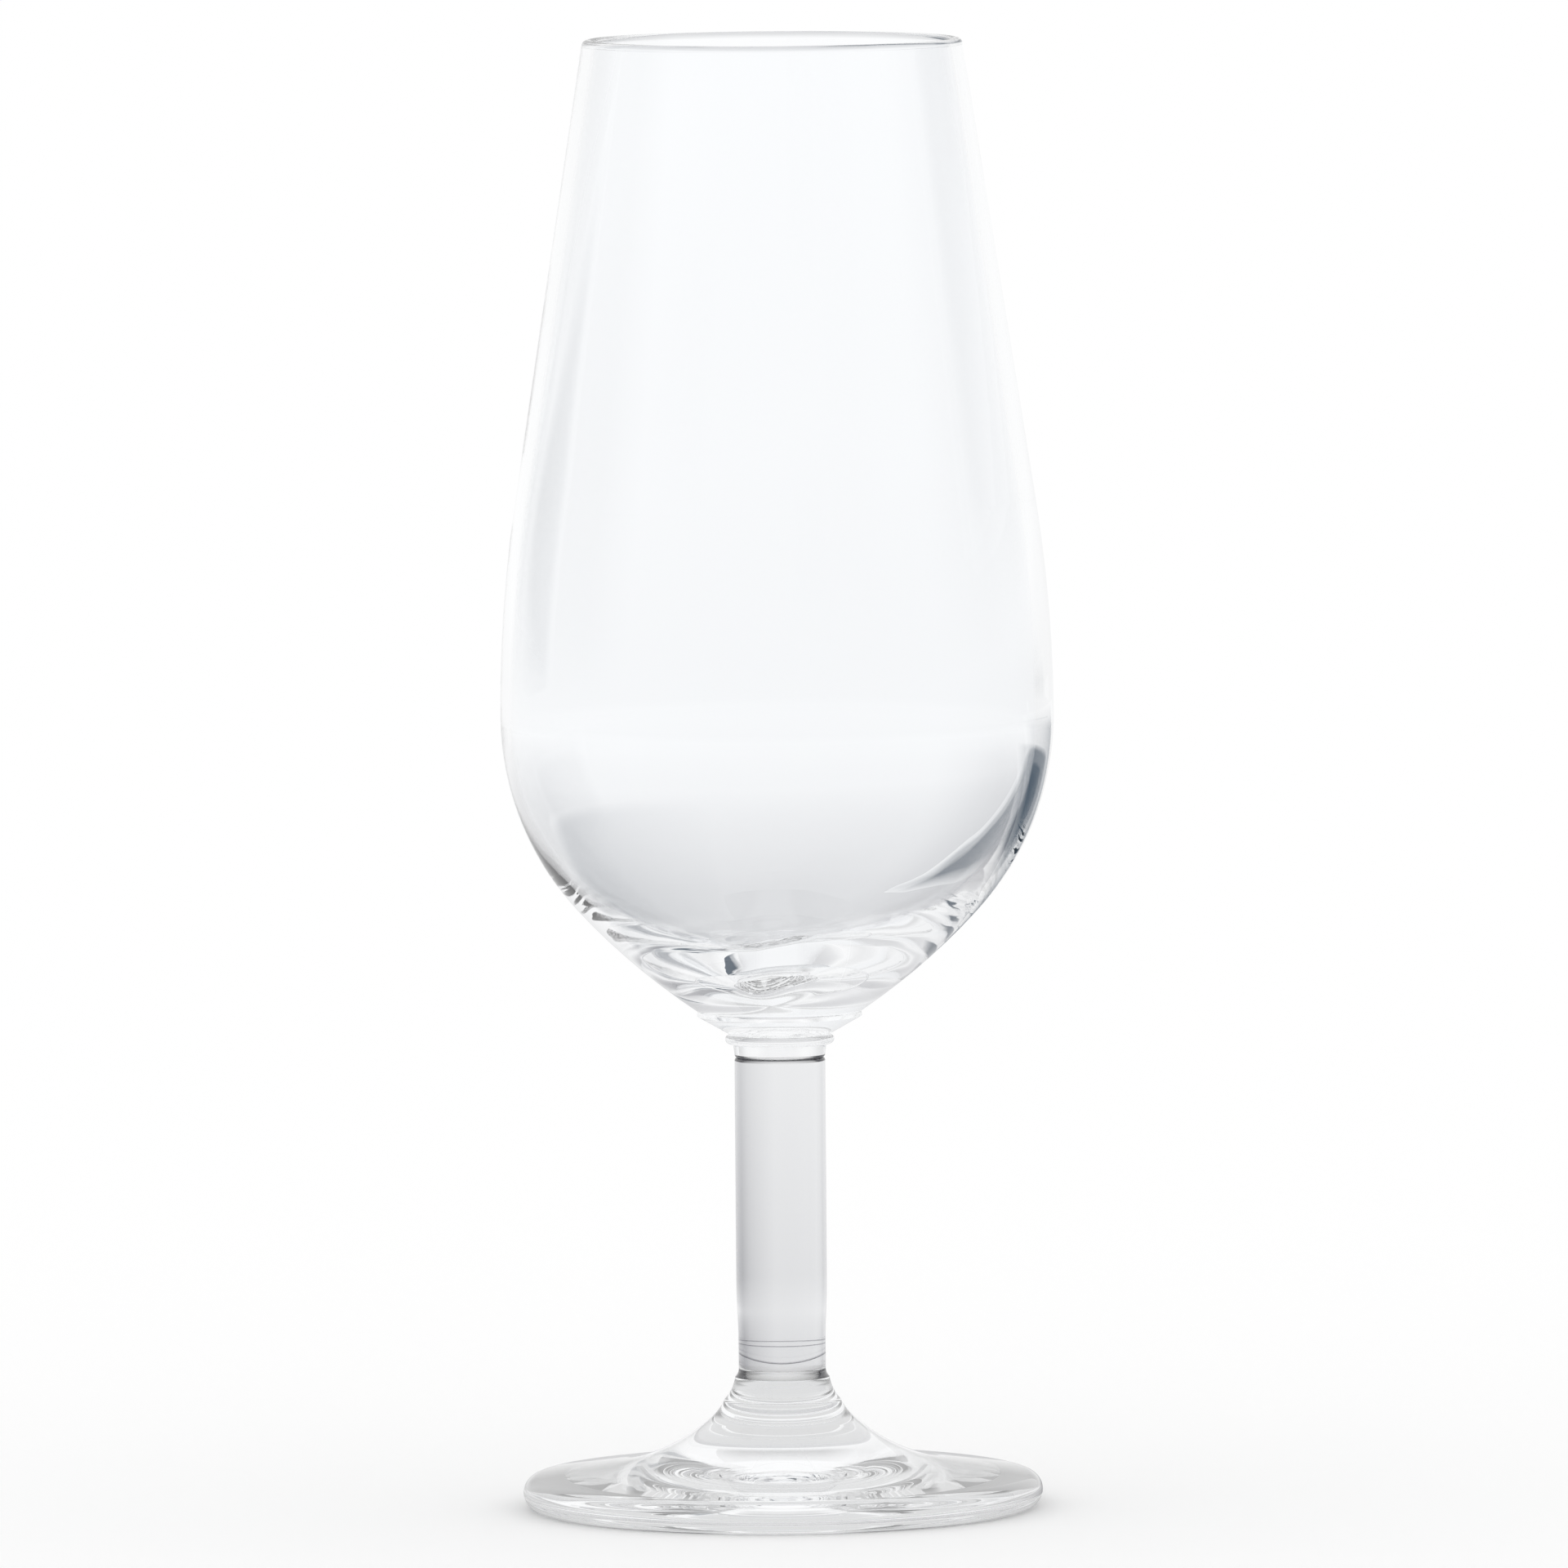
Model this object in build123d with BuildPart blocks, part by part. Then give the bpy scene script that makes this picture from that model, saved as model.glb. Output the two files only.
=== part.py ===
from build123d import *
import os

# A stemmed sherry glass, in millimetres, standing on the XY plane with its axis on Z.
# Four pieces of clear glass are welded hot, one on top of the other: foot, stem, collar, bowl.
# Each piece is a turned form: half of its cross-section, swept once round the axis.

# Foot: a pressed disc with a round edge, drawn up in ring bands to a short post
foot_diameter = 49.5
foot_edge_thickness = 3.2
foot_contact_width = 2.4
foot_hollow_depth = 1.4
foot_top_fall = 8.0  # degrees that the disc slopes down towards its edge
flare_height = 12.5
flare_top_diameter = 9.0
crease_height = 0.8
post_height = 15.8

# Stem: a drawn rod, slimmer where it was heated for its lower weld
stem_diameter = 8.65
stem_waist_diameter = 8.3
stem_waist_length = 6.0
stem_length = 27.25
weld_dome_depth = 2.0
weld_edge_radius = 0.3

# Collar: the stepped button between stem and bowl
collar_height = 4.45
collar_neck_diameter = 8.9
collar_neck_height = 1.3
collar_bead_diameter = 10.4
collar_bead_height = 0.9
collar_lip_height = 0.5
collar_lip_radius = 0.2

# Bowl: a tulip, thin above and with a thick solid base
bowl_height = 92.5
rim_diameter = 36.2
belly_diameter = 52.6
bowl_seat_diameter = 15.7
rim_wall = 1.2
belly_wall = 1.3
base_thickness = 4.7
cavity_floor_rise = 2.0

# Where the foot's bands end, as shares (of the fall to the edge, of the run out to it)
first_band_shares = (0.231, 0.055)
second_band_shares = (0.465, 0.151)
band_hollow_share = 0.02
disc_cone_share = 0.46

# The round corner between the cavity's side and floor, as a share of the cavity's half-width
# or of its depth below the belly, whichever is smaller
cavity_corner_share = 0.955

# Where the bowl is widest, as a share of its height, and where the arcs above and below that
# end, as shares (of the height from there, of the drop in radius)
belly_level_share = 0.3054
shoulder_shares = (0.319, 0.189)
flank_shares = (0.659, 0.3935)

# Levels, from the table up
weld_bottom = post_height - weld_dome_depth
stem_top = post_height + stem_length
bead_bottom = stem_top + collar_neck_height
bead_top = bead_bottom + collar_bead_height
collar_top = stem_top + collar_height
lip_bottom = collar_top - collar_lip_height
cavity_floor = collar_top + base_thickness
belly_level = collar_top + belly_level_share * bowl_height
rim_edge = collar_top + bowl_height - rim_wall / 2

# Radii that more than one piece or curve uses
waist_radius = stem_waist_diameter / 2
stem_radius = stem_diameter / 2
seat_radius = bowl_seat_diameter / 2

# Foot: its section runs from the contact ring round the edge, up the bands and down the axis
edge_radius = foot_edge_thickness / 2
contact_outer = foot_diameter / 2 - edge_radius
contact_inner = contact_outer - foot_contact_width
flare_radius = flare_top_diameter / 2
flare_run = contact_outer - flare_radius
flare_fall = flare_height - foot_edge_thickness
first_ring = (
    flare_radius + first_band_shares[1] * flare_run,
    flare_height - first_band_shares[0] * flare_fall,
)
second_ring = (
    flare_radius + second_band_shares[1] * flare_run,
    flare_height - second_band_shares[0] * flare_fall,
)
cone_run = disc_cone_share * (contact_outer - second_ring[0])
band_hollow = band_hollow_share * flare_fall

with BuildPart() as foot:
    with BuildSketch(Plane.XZ):
        with BuildLine():
            contact = Line((contact_inner, 0), (contact_outer, 0))
            edge = CenterArc(
                (contact_outer, edge_radius), edge_radius, -90, 180 - foot_top_fall
            )
            disc_cone = Line(edge @ 1, edge @ 1 + (edge % 1) * cone_run)
            disc_sweep = TangentArc(disc_cone @ 1, second_ring, tangent=disc_cone % 1)
            second_band = SagittaArc(disc_sweep @ 1, first_ring, band_hollow)
            first_band = SagittaArc(
                second_band @ 1, (flare_radius, flare_height), band_hollow
            )
            post = Line((waist_radius, post_height), (waist_radius, flare_height + crease_height))
            crease = TangentArc(post @ 1, first_band @ 1, tangent=post % 1)
            cup = TangentArc((0, weld_bottom), post @ 0, tangent=(1, 0))
            hollow = TangentArc((0, foot_hollow_depth), contact @ 0, tangent=(1, 0))
            middle = Line(hollow @ 0, cup @ 0)
        make_face()
    revolve(axis=Axis.Z)
foot.part.label = "foot"

# Stem: its rounded lower end sits in the cup on top of the foot's post
waist_top = post_height + stem_waist_length
waist_middle = ((waist_radius + stem_radius) / 2, post_height + stem_waist_length / 2)

with BuildPart() as stem:
    with BuildSketch(Plane.XZ):
        with BuildLine():
            dome = TangentArc(
                (0, weld_bottom), (waist_radius, post_height), tangent=(1, 0)
            )
            waist_hollow = TangentArc(dome @ 1, waist_middle, tangent=(0, 1))
            waist_swell = TangentArc(
                waist_hollow @ 1, (stem_radius, waist_top), tangent=waist_hollow % 1
            )
            rod = Line(waist_swell @ 1, (stem_radius, stem_top))
            top = Line(rod @ 1, (0, stem_top))
            middle = Line(top @ 1, dome @ 0)
        make_face()
    revolve(axis=Axis.Z)
    fillet(stem.faces().sort_by(Axis.Z)[-1].edges(), radius=weld_edge_radius)
stem.part.label = "stem"

# Collar: a short neck, a ring bead, then a cone out to a thin lip under the bowl
bead_radius = collar_bead_diameter / 2
bead_root = bead_radius - collar_bead_height / 2

with BuildPart() as collar:
    with BuildSketch(Plane.XZ):
        with BuildLine():
            bottom = Line((0, stem_top), (stem_radius, stem_top))
            neck = Line(bottom @ 1, (collar_neck_diameter / 2, bead_bottom))
            ledge = Line(neck @ 1, (bead_root, bead_bottom))
            bead = ThreePointArc(
                ledge @ 1,
                (bead_radius, (bead_bottom + bead_top) / 2),
                (bead_root, bead_top),
            )
            cone = Line(bead @ 1, (seat_radius, lip_bottom))
            lip = Line(cone @ 1, (seat_radius, collar_top))
            top = Line(lip @ 1, (0, collar_top))
            middle = Line(top @ 1, bottom @ 0)
        make_face()
    revolve(axis=Axis.Z)
    fillet(collar.faces().sort_by(Axis.Z)[0].edges(), radius=weld_edge_radius)
    fillet(collar.faces().sort_by(Axis.Z)[-1].edges(), radius=collar_lip_radius)
collar.part.label = "collar"

# Bowl: the outside from seat to rim, over the round rim, and down the inside to the floor
rim_radius = rim_diameter / 2
belly_radius = belly_diameter / 2
cavity_rim = rim_radius - rim_wall
cavity_belly = belly_radius - belly_wall
above_belly = rim_edge - belly_level
below_belly = belly_level - collar_top
shoulder_level = belly_level + shoulder_shares[0] * above_belly
shoulder_radius = belly_radius - shoulder_shares[1] * (belly_radius - rim_radius)
cavity_shoulder = cavity_belly - shoulder_shares[1] * (cavity_belly - cavity_rim)
flank_level = belly_level - flank_shares[0] * below_belly
flank_radius = belly_radius - flank_shares[1] * (belly_radius - seat_radius)
floor_corner = (cavity_belly, cavity_floor + cavity_floor_rise)
cavity_corner_radius = cavity_corner_share * min(cavity_belly, belly_level - cavity_floor)

with BuildPart() as bowl:
    with BuildSketch(Plane.XZ):
        with BuildLine() as cavity_line:
            floor = TangentArc((0, cavity_floor), floor_corner, tangent=(1, 0))
            Line(floor_corner, (cavity_belly, belly_level))
            corner = cavity_line.vertices().sort_by_distance(floor_corner)[0]
            fillet(corner, radius=cavity_corner_radius)
        with BuildLine():
            belly = (belly_radius, belly_level)
            flank = TangentArc(belly, (flank_radius, flank_level), tangent=(0, -1))
            lower_flank = TangentArc(
                flank @ 1, (seat_radius, collar_top), tangent=flank % 1
            )
            shoulder = TangentArc(belly, (shoulder_radius, shoulder_level), tangent=(0, 1))
            side = Line(shoulder @ 1, (rim_radius, rim_edge))
            rim = ThreePointArc(
                side @ 1,
                ((rim_radius + cavity_rim) / 2, rim_edge + rim_wall / 2),
                (cavity_rim, rim_edge),
            )
            inner_shoulder = TangentArc(
                (cavity_belly, belly_level), (cavity_shoulder, shoulder_level), tangent=(0, 1)
            )
            inner_side = Line(inner_shoulder @ 1, (cavity_rim, rim_edge))
            middle = Line((0, cavity_floor), (0, collar_top))
            seat = Line(middle @ 1, lower_flank @ 1)
        make_face()
    revolve(axis=Axis.Z)
bowl.part.label = "bowl"

os.makedirs("parts", exist_ok=True)
export_step(foot.part, "parts/foot.step")
export_step(stem.part, "parts/stem.step")
export_step(collar.part, "parts/collar.step")
export_step(bowl.part, "parts/bowl.step")
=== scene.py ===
import math

import bpy
from mathutils import Matrix, Vector


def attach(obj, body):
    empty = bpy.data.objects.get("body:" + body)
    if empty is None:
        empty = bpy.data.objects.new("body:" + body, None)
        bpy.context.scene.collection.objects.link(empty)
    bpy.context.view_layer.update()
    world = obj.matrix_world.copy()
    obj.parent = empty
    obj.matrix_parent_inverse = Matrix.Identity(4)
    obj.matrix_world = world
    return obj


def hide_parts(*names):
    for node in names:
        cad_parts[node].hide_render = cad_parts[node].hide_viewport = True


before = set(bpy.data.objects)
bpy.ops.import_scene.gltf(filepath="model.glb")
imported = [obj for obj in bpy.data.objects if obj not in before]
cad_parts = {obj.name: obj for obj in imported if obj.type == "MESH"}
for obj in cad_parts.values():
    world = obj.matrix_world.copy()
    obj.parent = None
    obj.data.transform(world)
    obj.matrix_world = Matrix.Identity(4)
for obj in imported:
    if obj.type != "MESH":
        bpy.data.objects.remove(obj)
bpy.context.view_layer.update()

# The looks of a stemmed sherry glass: four turned pieces of clear glass, welded hot into one.
# Sections are drawn in millimetres as (radius, level above the table), and built in metres.
MM = 0.001

# Foot
foot_diameter = 49.5
foot_edge_thickness = 3.2
foot_contact_width = 2.4
foot_hollow_depth = 1.4
foot_top_fall = math.radians(8.0)
flare_height = 12.5
flare_top_diameter = 9.0
crease_height = 0.8
post_height = 15.8

# Stem
stem_diameter = 8.65
stem_waist_diameter = 8.3
stem_waist_length = 6.0
stem_length = 27.25
weld_dome_depth = 2.0
weld_edge_radius = 0.3

# Collar
collar_height = 4.45
collar_neck_diameter = 8.9
collar_neck_height = 1.3
collar_bead_diameter = 10.4
collar_bead_height = 0.9
collar_lip_height = 0.5
collar_lip_radius = 0.2

# Bowl
bowl_height = 92.5
rim_diameter = 36.2
belly_diameter = 52.6
bowl_seat_diameter = 15.7
rim_wall = 1.2
belly_wall = 1.3
base_thickness = 4.7
cavity_floor_rise = 2.0

# Where the foot's bands end, as shares (of the fall to the edge, of the run out to it)
first_band_shares = (0.231, 0.055)
second_band_shares = (0.465, 0.151)
band_hollow_share = 0.02
disc_cone_share = 0.46

# The round corner between the cavity's side and floor, as a share of the cavity's half-width
# or of its depth below the belly, whichever is smaller
cavity_corner_share = 0.955

# Where the bowl is widest, as a share of its height, and where the arcs above and below that
# end, as shares (of the height from there, of the drop in radius)
belly_level_share = 0.3054
shoulder_shares = (0.319, 0.189)
flank_shares = (0.659, 0.3935)

# Levels and radii that follow from the sizes
weld_bottom = post_height - weld_dome_depth
stem_top = post_height + stem_length
bead_bottom = stem_top + collar_neck_height
bead_top = bead_bottom + collar_bead_height
collar_top = stem_top + collar_height
lip_bottom = collar_top - collar_lip_height
cavity_floor = collar_top + base_thickness
belly_level = collar_top + belly_level_share * bowl_height
rim_edge = collar_top + bowl_height - rim_wall / 2
glass_top = rim_edge + rim_wall
waist_radius = stem_waist_diameter / 2
stem_radius = stem_diameter / 2
seat_radius = bowl_seat_diameter / 2

# How finely the turned surfaces are divided: steps round the axis, and along a section by turn
# and by length, with a short step at each end of a straight stretch that is long enough for them
SEGMENTS = 256
TURN_STEP = math.radians(2)
LONGEST_STEP = 4.0
FEWEST_STEPS = 2
END_STEP = 0.05
SHORT_LINE = 3 * END_STEP
CREASE_ANGLE = math.radians(25)

# How far the mould's plunger leaned, measured at the cavity's floor, and the waves that it left
# there: how many round the cavity, where the first one starts, and how high. They fade out at
# a height above the floor.
CAVITY_LEAN = -0.4
CAVITY_WAVES = ((1, 0.6, 0.2), (2, 2.0, 0.22), (3, 4.1, 0.2), (5, 1.3, 0.07))
WAVES_END = 8.0

# Glass: how it bends and tints light, and the slow waves that moulding leaves in it
GLASS_IOR = 1.52
GLASS_TINT = (0.985, 0.992, 1.0, 1)
WAVE_SCALE = 55
WAVE_HEIGHT = 0.35
RIPPLE_SCALE = 150
RIPPLE_HEIGHT = 0.12
WAVE_DETAIL = 0.5
# How strong the waves are, as shares, by level: the foot, the stem, the bowl's base, the wall
WAVE_SHARES = {
    0: 0.1,
    foot_edge_thickness: 0.1,
    flare_height / 2: 0.0,
    post_height: 0.0,
    collar_top: 0.1,
    collar_top + base_thickness / 2: 0.8,
    cavity_floor + base_thickness: 0.8,
    cavity_floor + 3 * base_thickness: 0.06,
}

# Welds: how much light the melted faces take, seen edge on, and the painted shade, nearly black,
# in the creases round them
CUP_COLOUR = (0.60, 0.60, 0.62, 1)
CUP_EDGE = 0.72
CUP_LIP = 0.14
SEAM_COLOUR = (0.86, 0.87, 0.88, 1)
SEAM_EDGE = 0.86
CREASE_SHADE_COLOUR = (0.01, 0.01, 0.012, 1)
CREASE_SHADE_EDGE = 0.45
WHITE = (1, 1, 1, 1)


def new_material(name):
    """A material, with its node tree's nodes and links."""
    material = bpy.data.materials.new(name)
    material.use_nodes = True
    return material, material.node_tree.nodes, material.node_tree.links


def coordinate(nodes, links, axis):
    """How far along an axis each point of a piece lies, in metres."""
    place = nodes.new("ShaderNodeTexCoord")
    split = nodes.new("ShaderNodeSeparateXYZ")
    links.new(place.outputs["Object"], split.inputs["Vector"])
    return split.outputs[axis]


def share_between(nodes, links, value, low, high):
    """A value in metres as a share of the way between two sizes in millimetres."""
    share = nodes.new("ShaderNodeMapRange")
    share.inputs["From Min"].default_value = low * MM
    share.inputs["From Max"].default_value = high * MM
    links.new(value, share.inputs["Value"])
    return share.outputs["Result"]


def ramp(nodes, links, value, stops):
    """A colour that follows a value through stops, each a position from 0 to 1 and a colour."""
    node = nodes.new("ShaderNodeValToRGB")
    elements = node.color_ramp.elements
    elements.remove(elements[1])
    for n, (position, colour) in enumerate(stops):
        stop = elements.new(position) if n else elements[0]
        stop.position = position
        stop.color = colour
    links.new(value, node.inputs["Fac"])
    return node.outputs["Color"]


def grey_ramp(nodes, links, value, shares, end):
    """A grey that follows a value through shares, which are given by size up to an end."""
    stops = [(size / end, (share, share, share, 1)) for size, share in shares.items()]
    return ramp(nodes, links, value, stops)


def edge_shade(nodes, links, first, last, colour):
    """White where a surface faces the eye, turning to a colour where it is seen edge on."""
    facing = nodes.new("ShaderNodeLayerWeight").outputs["Facing"]
    return ramp(nodes, links, facing, ((first, WHITE), (last, colour)))


def clear_surface(nodes):
    """The shader of a new material, set to smooth clear glass."""
    surface = nodes["Principled BSDF"]
    surface.inputs["Transmission Weight"].default_value = 1.0
    surface.inputs["Roughness"].default_value = 0.0
    surface.inputs["IOR"].default_value = GLASS_IOR
    return surface


def glass_material():
    """Clear soda-lime glass, smooth in the thin wall and stem, and wavy in the thick base."""
    material, nodes, links = new_material("clear_glass")
    surface = clear_surface(nodes)
    surface.inputs["Base Color"].default_value = GLASS_TINT
    level = share_between(nodes, links, coordinate(nodes, links, "Z"), 0, glass_top)
    strength = grey_ramp(nodes, links, level, WAVE_SHARES, glass_top)
    place = nodes.new("ShaderNodeTexCoord")
    normal = None
    for scale, height in ((WAVE_SCALE, WAVE_HEIGHT), (RIPPLE_SCALE, RIPPLE_HEIGHT)):
        waves = nodes.new("ShaderNodeTexNoise")
        waves.inputs["Scale"].default_value = scale
        waves.inputs["Detail"].default_value = WAVE_DETAIL
        links.new(place.outputs["Object"], waves.inputs["Vector"])
        bump = nodes.new("ShaderNodeBump")
        bump.inputs["Distance"].default_value = height * MM
        links.new(waves.outputs["Fac"], bump.inputs["Height"])
        links.new(strength, bump.inputs["Strength"])
        if normal is not None:
            links.new(normal, bump.inputs["Normal"])
        normal = bump.outputs["Normal"]
    links.new(normal, surface.inputs["Normal"])
    return material


def joint_material(name, first, colour, lip=None):
    """The face where two pieces are melted together, seen where it turns and at its lip."""
    material, nodes, links = new_material(name)
    nodes.remove(nodes["Principled BSDF"])
    clear = nodes.new("ShaderNodeBsdfTransparent")
    shade = edge_shade(nodes, links, first, 1, colour)
    if lip is not None:
        level = share_between(nodes, links, coordinate(nodes, links, "Z"), lip - CUP_LIP, lip)
        mix = nodes.new("ShaderNodeMix")
        mix.data_type = "RGBA"
        mix.inputs["B"].default_value = colour
        links.new(level, mix.inputs["Factor"])
        links.new(shade, mix.inputs["A"])
        shade = mix.outputs["Result"]
    links.new(shade, clear.inputs["Color"])
    links.new(clear.outputs["BSDF"], nodes["Material Output"].inputs["Surface"])
    return material


def crease_shade_material():
    """Glass in the sharp creases beside a weld, with painted shade that turns it nearly black
    where it is seen edge on.
    """
    material, nodes, links = new_material("weld_crease_shade")
    surface = clear_surface(nodes)
    shade = edge_shade(nodes, links, 0, CREASE_SHADE_EDGE, CREASE_SHADE_COLOUR)
    links.new(shade, surface.inputs["Base Color"])
    return material


GLASS = glass_material()
CUP = joint_material("cup_joint", CUP_EDGE, CUP_COLOUR, post_height)
SEAM = joint_material("seam_joint", SEAM_EDGE, SEAM_COLOUR)
# The creases' glass carries painted shade, darkest where it is seen edge on
SHADED_CREASE = crease_shade_material()


def other_heading(chord, heading):
    """The direction at one end of an arc, from its chord and the direction at its other end."""
    return chord * (2 * heading.dot(chord) / chord.length_squared) - heading


class Section:
    """Half of a piece's cross-section, drawn from the axis round and back to it."""

    def __init__(self, start):
        self.points = [Vector(start)]
        self.materials = []
        self.heading = None

    def add(self, points, material):
        self.points += points
        self.materials += [material] * len(points)

    def line(self, end, material=GLASS):
        """A straight stretch, with a short step at each end to hold its direction."""
        start, end = self.points[-1], Vector(end)
        length = (end - start).length
        self.heading = (end - start) / length
        count = math.ceil(length / LONGEST_STEP)
        steps = [length * i / count for i in range(1, count)]
        if length > SHORT_LINE:
            steps = [END_STEP] + steps + [length - END_STEP]
        self.add([start + self.heading * step for step in steps] + [end], material)

    def arc(self, end, heading=None, material=GLASS):
        """An arc that leaves in a direction, by default that of the stretch before it."""
        start, end = self.points[-1], Vector(end)
        if heading is not None:
            self.heading = Vector(heading).normalized()
        chord = end - start
        along = self.heading.dot(chord)
        across = self.heading.x * chord.y - self.heading.y * chord.x
        turn = 2 * math.atan2(across, along)
        radius = chord.length / (2 * math.sin(abs(turn) / 2))
        side = math.copysign(1, turn)
        centre = start + Vector((-self.heading.y, self.heading.x)) * side * radius
        by_turn = math.ceil(abs(turn) / TURN_STEP)
        by_length = math.ceil(abs(turn) * radius / LONGEST_STEP)
        count = max(by_turn, by_length, FEWEST_STEPS)
        spoke = start - centre
        points = [centre + Matrix.Rotation(turn * i / count, 2) @ spoke for i in range(1, count)]
        self.add(points + [end], material)
        self.heading = Matrix.Rotation(turn, 2) @ self.heading

    def arc_into(self, end, heading, material=GLASS):
        """An arc that arrives at a point in a given direction."""
        chord = Vector(end) - self.points[-1]
        self.arc(end, other_heading(chord, Vector(heading).normalized()), material)

    def bulge(self, end, depth):
        """An arc whose middle lies a depth to the left of its chord."""
        chord = Vector(end) - self.points[-1]
        half_turn = 2 * math.atan2(depth, chord.length / 2)
        self.arc(end, Matrix.Rotation(half_turn, 2) @ chord)


def cavity_rise(radius, level, angle):
    """How far the waves lift the cavity's inside, strongest round the edge of its floor."""
    fade = max(0, 1 - (level - cavity_floor) / WAVES_END) ** 2
    reach = min(1, radius / base_thickness)
    return reach * fade * sum(h * math.sin(n * angle + start) for n, start, h in CAVITY_WAVES)


def cavity_shift(level):
    """How far the cavity's axis stands aside, most at its floor and nothing at the rim."""
    return CAVITY_LEAN * (rim_edge - level) / (rim_edge - cavity_floor)


def turned(name, node, section, cavity_from=None):
    """A closed solid, turned round the axis from a section, with the cavity's points uneven."""
    vertices, rings = [], []
    for n, (radius, level) in enumerate(section.points):
        first = len(vertices)
        uneven = cavity_from is not None and n >= cavity_from
        shift = cavity_shift(level) if uneven else 0
        if radius < END_STEP:
            vertices.append((shift * MM, 0, level * MM))
            rings.append([first] * SEGMENTS)
            continue
        for i in range(SEGMENTS):
            angle = 2 * math.pi * i / SEGMENTS
            x, y = radius * math.cos(angle) + shift, radius * math.sin(angle)
            rise = cavity_rise(radius, level, angle) if uneven else 0
            vertices.append((x * MM, y * MM, (level + rise) * MM))
        rings.append(range(first, first + SEGMENTS))
    materials = list(dict.fromkeys(section.materials))
    faces, slots = [], []
    for inner, outer, material in zip(rings, rings[1:], section.materials):
        for i in range(SEGMENTS):
            j = (i + 1) % SEGMENTS
            faces.append(tuple(dict.fromkeys((inner[i], inner[j], outer[j], outer[i]))))
            slots.append(materials.index(material))
    mesh = bpy.data.meshes.new(name)
    mesh.from_pydata(vertices, [], faces)
    for material in materials:
        mesh.materials.append(material)
    mesh.polygons.foreach_set("material_index", slots)
    mesh.shade_smooth()
    mesh.set_sharp_from_angle(angle=CREASE_ANGLE)
    mesh.update()
    piece = bpy.data.objects.new(name, mesh)
    bpy.context.scene.collection.objects.link(piece)
    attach(piece, "root")
    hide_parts(node)


# Foot: under the hollow, over the contact ring, round the edge, up the bands and into the cup
edge_radius = foot_edge_thickness / 2
contact_outer = foot_diameter / 2 - edge_radius
contact_inner = contact_outer - foot_contact_width
flare_radius = flare_top_diameter / 2
flare_run = contact_outer - flare_radius
flare_fall = flare_height - foot_edge_thickness
first_ring = (
    flare_radius + first_band_shares[1] * flare_run,
    flare_height - first_band_shares[0] * flare_fall,
)
second_ring = (
    flare_radius + second_band_shares[1] * flare_run,
    flare_height - second_band_shares[0] * flare_fall,
)
edge_top = (
    contact_outer + edge_radius * math.sin(foot_top_fall),
    edge_radius + edge_radius * math.cos(foot_top_fall),
)
cone_run = disc_cone_share * (contact_outer - second_ring[0])
cone_heading = Vector((-math.cos(foot_top_fall), math.sin(foot_top_fall)))
band_hollow = band_hollow_share * flare_fall

foot = Section((0, foot_hollow_depth))
foot.arc((contact_inner, 0), (1, 0))
foot.line((contact_outer, 0))
foot.arc(edge_top)
foot.line(Vector(edge_top) + cone_run * cone_heading)
foot.arc(second_ring)
foot.bulge(first_ring, band_hollow)
foot.bulge((flare_radius, flare_height), band_hollow)
foot.arc_into((waist_radius, flare_height + crease_height), (0, 1), SHADED_CREASE)
foot.line((waist_radius, post_height))
foot.arc_into((0, weld_bottom), (-1, 0), CUP)
turned("foot_disc", "foot", foot)

# Stem: the domed lower end, the waist, the rod and its rounded top edge
waist_top = post_height + stem_waist_length
waist_middle = ((waist_radius + stem_radius) / 2, post_height + stem_waist_length / 2)

stem = Section((0, weld_bottom))
stem.arc((waist_radius, post_height), (1, 0), CUP)
stem.arc(waist_middle, (0, 1))
stem.arc((stem_radius, waist_top))
stem.line((stem_radius, stem_top - weld_edge_radius))
stem.arc((stem_radius - weld_edge_radius, stem_top), material=SHADED_CREASE)
stem.line((0, stem_top), SEAM)
turned("stem_rod", "stem", stem)

# Collar: a short neck, a ring bead, a cone and a thin lip, with rounded weld edges
bead_radius = collar_bead_diameter / 2
bead_root = bead_radius - collar_bead_height / 2

collar = Section((0, stem_top))
collar.line((stem_radius - weld_edge_radius, stem_top), SEAM)
collar.arc((stem_radius, stem_top + weld_edge_radius), material=SHADED_CREASE)
collar.line((collar_neck_diameter / 2, bead_bottom))
collar.line((bead_root, bead_bottom))
collar.arc((bead_root, bead_top), (1, 0))
collar.line((seat_radius, lip_bottom))
collar.line((seat_radius, collar_top - collar_lip_radius))
collar.arc((seat_radius - collar_lip_radius, collar_top))
collar.line((0, collar_top), SEAM)
turned("collar_button", "collar", collar)

# Bowl: the seat, up the outside, over the round rim, down the inside and across the floor
rim_radius = rim_diameter / 2
belly_radius = belly_diameter / 2
cavity_rim = rim_radius - rim_wall
cavity_belly = belly_radius - belly_wall
above_belly = rim_edge - belly_level
below_belly = belly_level - collar_top
shoulder_level = belly_level + shoulder_shares[0] * above_belly
shoulder_radius = belly_radius - shoulder_shares[1] * (belly_radius - rim_radius)
cavity_shoulder = cavity_belly - shoulder_shares[1] * (cavity_belly - cavity_rim)
flank_level = belly_level - flank_shares[0] * below_belly
flank_radius = belly_radius - flank_shares[1] * (belly_radius - seat_radius)

# The two arcs below the belly meet in one direction, set by the upper one, which ends upright
belly = Vector((belly_radius, belly_level))
flank = Vector((flank_radius, flank_level))
flank_heading = other_heading(belly - flank, Vector((0, 1)))

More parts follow.
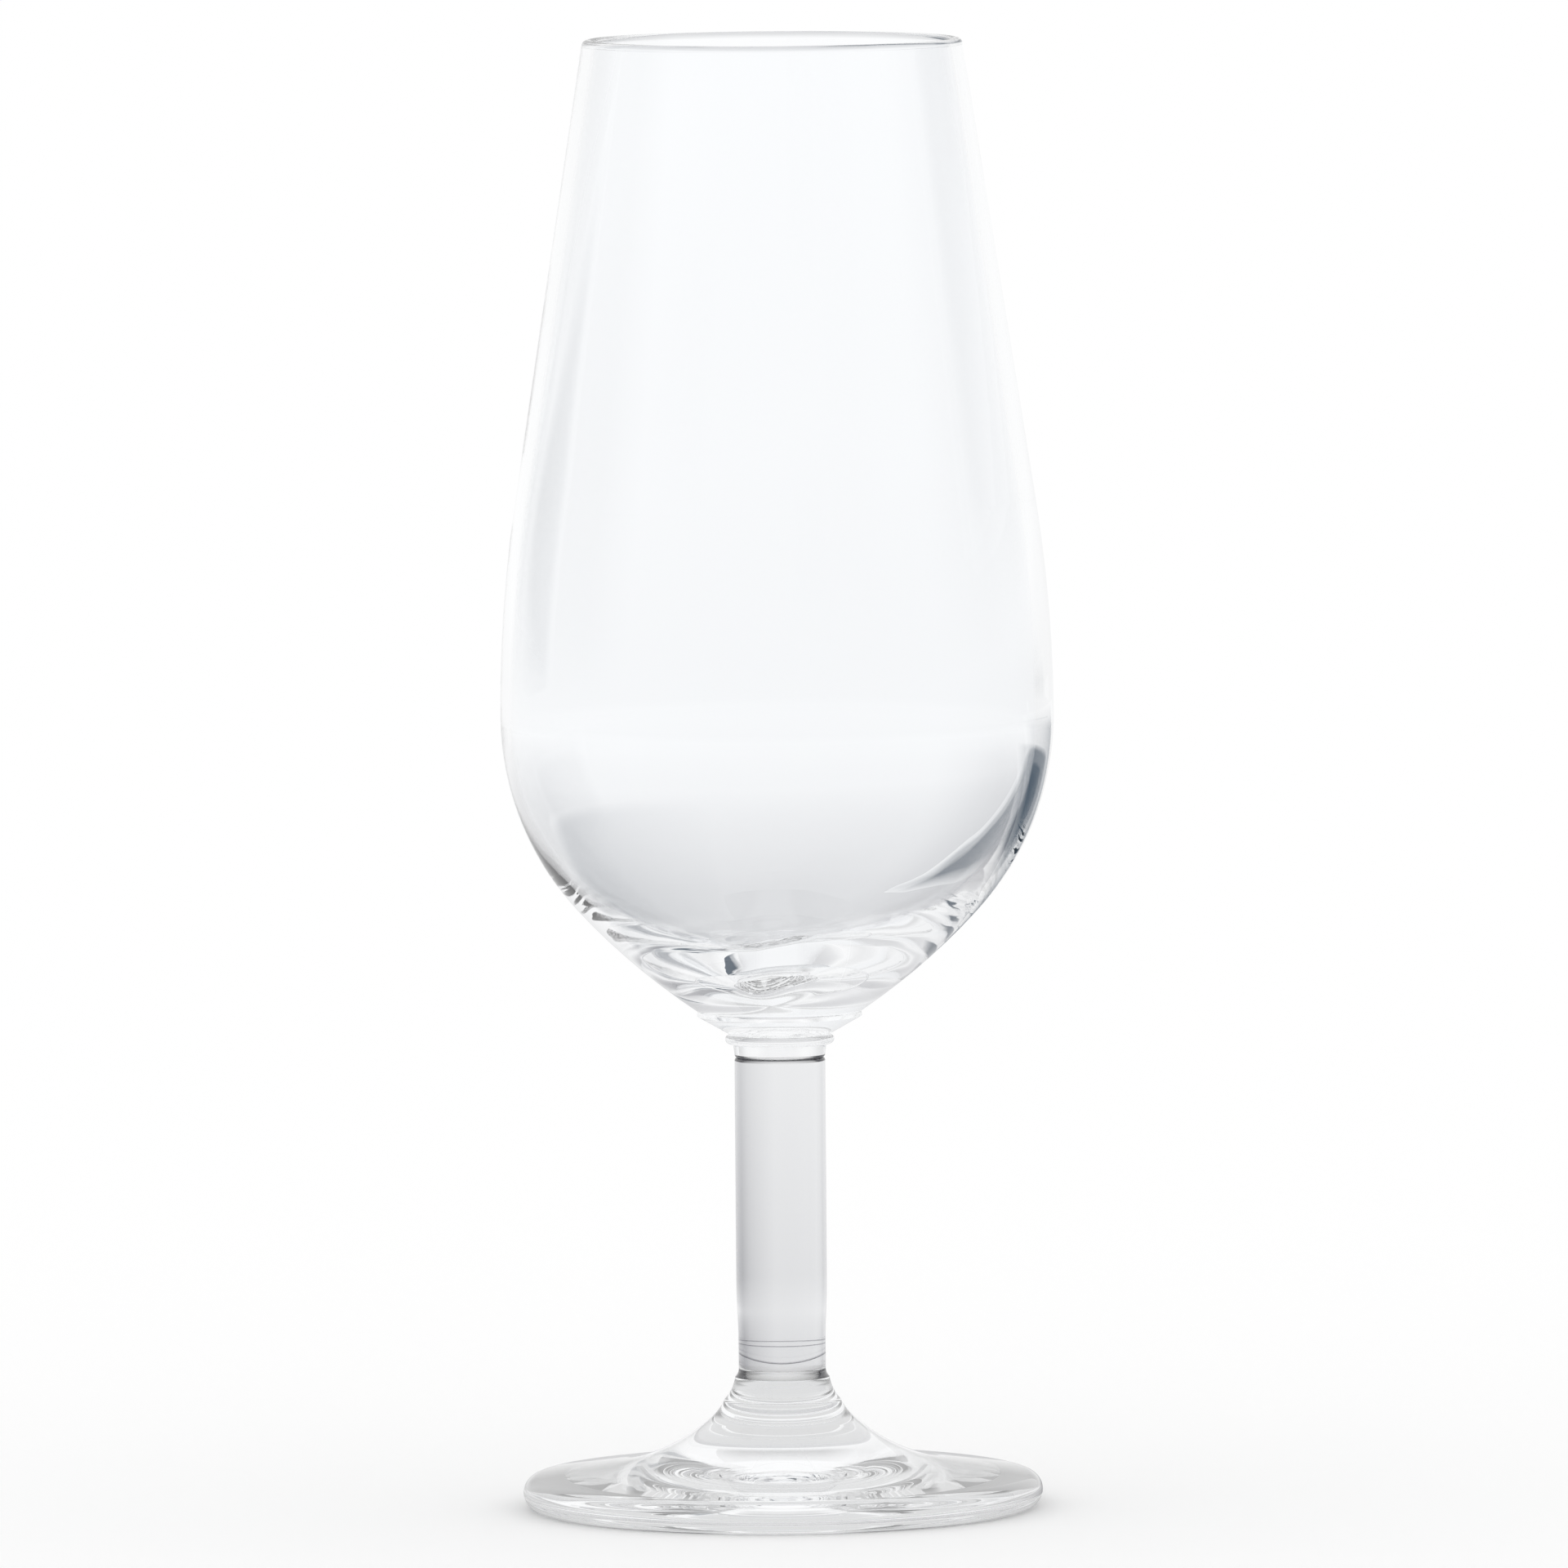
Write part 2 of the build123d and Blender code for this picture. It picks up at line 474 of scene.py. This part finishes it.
# The cavity's corner is an arc that touches its upright side and its slightly dished floor
cavity_corner_radius = cavity_corner_share * min(cavity_belly, belly_level - cavity_floor)
floor_radius = (cavity_belly ** 2 + cavity_floor_rise ** 2) / (2 * cavity_floor_rise)
floor_centre = Vector((0, cavity_floor + floor_radius))
corner_reach = floor_radius - cavity_corner_radius
corner_offset = cavity_belly - cavity_corner_radius
corner_level = floor_centre.y - math.sqrt(corner_reach ** 2 - corner_offset ** 2)
corner_centre = Vector((corner_offset, corner_level))
floor_end = floor_centre + (corner_centre - floor_centre) * (floor_radius / corner_reach)

bowl = Section((0, collar_top))
bowl.line((seat_radius, collar_top), SEAM)
bowl.arc_into(flank, flank_heading)
bowl.arc(belly)
bowl.arc((shoulder_radius, shoulder_level))
bowl.line((rim_radius, rim_edge))
bowl.arc(((rim_radius + cavity_rim) / 2, rim_edge + rim_wall / 2), (0, 1))
bowl.arc((cavity_rim, rim_edge))
cavity_from = len(bowl.points) - 1
bowl.line((cavity_shoulder, shoulder_level))
bowl.arc_into((cavity_belly, belly_level), (0, -1))
bowl.line((cavity_belly, corner_level))
bowl.arc(floor_end)
bowl.arc_into((0, cavity_floor), (-1, 0))
turned("bowl_tulip", "bowl", bowl, cavity_from)

# Studio: a wide white floor under an even white sky. Its sizes are in metres.
FLOOR_SIZE = 16.0
SKY_STRENGTH = 1.0


def matt_paint(name):
    """White matt paint for the studio, with its nodes and links to build on."""
    material, nodes, links = new_material(name)
    surface = nodes["Principled BSDF"]
    surface.inputs["Base Color"].default_value = WHITE
    surface.inputs["Roughness"].default_value = 1.0
    surface.inputs["Specular IOR Level"].default_value = 0.0
    return material, nodes, links


def stage_mesh(name, points, faces, material):
    """A piece of the studio, which isn't part of the glass."""
    mesh = bpy.data.meshes.new(name)
    mesh.from_pydata(points, [], faces)
    mesh.materials.append(material)
    piece = bpy.data.objects.new(name, mesh)
    bpy.context.scene.collection.objects.link(piece)
    return piece


def hide_from_studio(piece):
    """Leaves a stage piece to be seen in and through the glass alone."""
    piece.visible_camera = False
    piece.visible_diffuse = False
    piece.visible_shadow = False


half = FLOOR_SIZE / 2
corners = [(-half, -half, 0), (half, -half, 0), (half, half, 0), (-half, half, 0)]
floor_paint, *_ = matt_paint("floor_paint")
stage_mesh("floor", corners, [(0, 1, 2, 3)], floor_paint)

world = bpy.data.worlds.new("studio")
world.use_nodes = True
sky = world.node_tree.nodes["Background"]
sky.inputs["Color"].default_value = WHITE
sky.inputs["Strength"].default_value = SKY_STRENGTH
bpy.context.scene.world = world

# Cards of painted shade round the glass, out of the camera's sight, which the glass alone shows,
# bent into its greys and dark edges. Each has a colour that it shades white towards, rows of
# (distance, level, share of that shade), and shares by angle, in degrees clockwise from straight
# behind the glass. Other cards shade by MOST_SHADE at the most, and the darkest cards all the
# way.
# The darkest painted shade, a blue grey, which the glass shows as its darkest greys
DEEP_SHADE = (0.09, 0.12, 0.155)
CARD_STEP = 2
MOST_SHADE = 0.62
CARDS = {
    # Painted shade on the table round the foot, greyest close by and fading away far off
    "table": (
        (0.0, 0.0, 0.03),
        ((0.026, 0.0004, 0.25), (0.10, 0.0004, 0.28), (0.20, 0.0004, 0.27), (0.40, 0.0004, 0.19),
         (0.80, 0.0004, 0.075), (1.60, 0.0004, 0.03), (3.20, 0.0004, 0.0)),
        {-100: 0, -75: 0.8, -58: 1.2, -50: 0.9, -40: 0.75, -28: 0.95, -10: 1, 5: 1, 20: 1.35,
         35: 1.75, 50: 2.4, 85: 2.4, 110: 0},
    ),
    # Painted shade on a far wall, fading out at its foot and at its top
    "wall": (
        (0.0, 0.0, 0.0),
        ((6.0, 0.0, 0.0), (6.0, 0.4, 0.12), (6.0, 0.9, 0.36), (6.0, 1.7, 0.25), (6.0, 3.1, 0.0)),
        {-72: 0, -60: 0.6, -45: 0.7, -35: 0.3, -22: 0.3, -12: 1, 12: 1, 22: 0.35, 35: 0.35, 45: 1,
         60: 1, 110: 0},
    ),
    "near_shade": (
        (0.5, 0.51, 0.53),
        ((0.028, 0.0008, 0), (0.034, 0.0008, 1), (0.066, 0.0008, 1), (0.078, 0.0008, 0)),
        {-116: 0, -105: 1, -72: 1, -60: 0},
    ),
    # Dark painted shade on a card level with the stem's top, to the left
    "dark_shade_left": (
        DEEP_SHADE,
        ((0.014, 0.043, 0), (0.017, 0.043, 1), (0.063, 0.043, 1), (0.074, 0.043, 0)),
        {-155: 0, -100: 1, -78: 1, -66: 0},
    ),
    # Dark painted shade on a card level with the collar, to the right
    "dark_shade_right": (
        DEEP_SHADE,
        ((0.040, 0.045, 0), (0.056, 0.045, 1), (0.34, 0.045, 1), (0.46, 0.045, 0)),
        {18: 0, 22: 1, 50: 1, 58: 0},
    ),
    # Grey painted shade high up and far off, to the right
    "high_right": (
        (0.15, 0.17, 0.20),
        ((1.5, 0.20, 0), (1.5, 0.30, 1), (1.5, 0.72, 1), (1.5, 0.95, 0)),
        {38: 0, 48: 1, 72: 1, 86: 0},
    ),
}


def between(stops, place):
    """A value between the stops of a scale, on a straight line from one to the next."""
    for (low, start), (high, end) in zip(stops, stops[1:]):
        if place <= high:
            return start + (end - start) * (place - low) / (high - low)
    return stops[-1][1]


def card_shade_paint():
    """Matt paint with the card's painted shade on its front, and white on its back."""
    material, nodes, links = matt_paint("card_shade_paint")
    shade = nodes.new("ShaderNodeVertexColor")
    shade.layer_name = "shade"
    side = nodes.new("ShaderNodeNewGeometry")
    mix = nodes.new("ShaderNodeMix")
    mix.data_type = "RGBA"
    mix.inputs["B"].default_value = WHITE
    links.new(side.outputs["Backfacing"], mix.inputs["Factor"])
    links.new(shade.outputs["Color"], mix.inputs["A"])
    links.new(mix.outputs["Result"], nodes["Principled BSDF"].inputs["Base Color"])
    return material


CARD_SHADE_PAINT = card_shade_paint()


def card(name, colour, rows, turns):
    """A curved card of painted shade, laid or standing round the glass, shaded row by row and by
    the angle.
    """
    stops = list(turns.items())
    first, last = stops[0][0], stops[-1][0]
    most = 1 if colour == DEEP_SHADE else MOST_SHADE
    points, shades = [], []
    for degrees in range(first, last + 1, CARD_STEP):
        angle = math.radians(degrees)
        for distance, level, share in rows:
            points.append((distance * math.sin(angle), distance * math.cos(angle), level))
            depth = min(share * between(stops, degrees), most)
            shades.append([1 - depth * (1 - c) for c in colour] + [1])
    across = len(rows)
    faces = []
    for i in range(len(points) // across - 1):
        for j in range(across - 1):
            a = i * across + j
            faces.append((a, a + across, a + across + 1, a + 1))
    piece = stage_mesh(name, points, faces, CARD_SHADE_PAINT)
    layer = piece.data.color_attributes.new("shade", "FLOAT_COLOR", "POINT")
    layer.data.foreach_set("color", [value for shade in shades for value in shade])
    hide_from_studio(piece)


for name, (colour, rows, turns) in CARDS.items():
    card(name, colour, rows, turns)

# The table right under the foot, which the foot's own shadow hides from the sky: a disc that
# glows as the light that real glass would let through to it, in shares by distance aside
UNDER_RADIUS = 26.0
UNDER_LEVEL = 0.05
UNDER_GLOWS = {0: 0.72, 5: 0.72, 8: 0.22, UNDER_RADIUS: 0.58}


def glow_material():
    """A glow that is brightest in the middle, and dimmest a little to either side of it."""
    material, nodes, links = new_material("under_glow")
    nodes.remove(nodes["Principled BSDF"])
    emission = nodes.new("ShaderNodeEmission")
    aside = nodes.new("ShaderNodeMath")
    aside.operation = "ABSOLUTE"
    links.new(coordinate(nodes, links, "X"), aside.inputs[0])
    reach = share_between(nodes, links, aside.outputs["Value"], 0, UNDER_RADIUS)
    glow = grey_ramp(nodes, links, reach, UNDER_GLOWS, UNDER_RADIUS)
    links.new(glow, emission.inputs["Color"])
    links.new(emission.outputs["Emission"], nodes["Material Output"].inputs["Surface"])
    return material


disc = []
for i in range(SEGMENTS):
    angle = 2 * math.pi * i / SEGMENTS
    x, y = UNDER_RADIUS * math.cos(angle), UNDER_RADIUS * math.sin(angle)
    disc.append((x * MM, y * MM, UNDER_LEVEL * MM))
hide_from_studio(stage_mesh("under_foot", disc, [tuple(range(SEGMENTS))], glow_material()))

# Camera: far away and a little above the rim, as in the photograph, with the frame's slight roll
CAMERA_DISTANCE = 1958.0
CAMERA_HEIGHT = 220.0
CAMERA_ROLL = math.radians(-0.45)
FRAME_WIDTH_AT_GLASS = 149.1
AIM_LEVEL = 69.1
AIM_SIDE = 0.6
SENSOR = 36.0

aim = Vector((AIM_SIDE, 0, AIM_LEVEL)) * MM
eye = Vector((AIM_SIDE, -CAMERA_DISTANCE, CAMERA_HEIGHT)) * MM
camera_data = bpy.data.cameras.new("camera")
camera_data.sensor_width = SENSOR
camera_data.lens = SENSOR * (aim - eye).length / (FRAME_WIDTH_AT_GLASS * MM)
camera = bpy.data.objects.new("camera", camera_data)
bpy.context.scene.collection.objects.link(camera)
look = (aim - eye).to_track_quat("-Z", "Y").to_matrix().to_4x4()
camera.matrix_world = Matrix.Translation(eye) @ look @ Matrix.Rotation(CAMERA_ROLL, 4, "Z")
bpy.context.scene.camera = camera

# Light crosses many faces inside the thick glass, and turns black where its bounces run out
BOUNCES = 128
scene = bpy.context.scene
scene.view_settings.view_transform = "Standard"
scene.cycles.max_bounces = BOUNCES
scene.cycles.transmission_bounces = BOUNCES
scene.cycles.glossy_bounces = BOUNCES
scene.cycles.transparent_max_bounces = BOUNCES
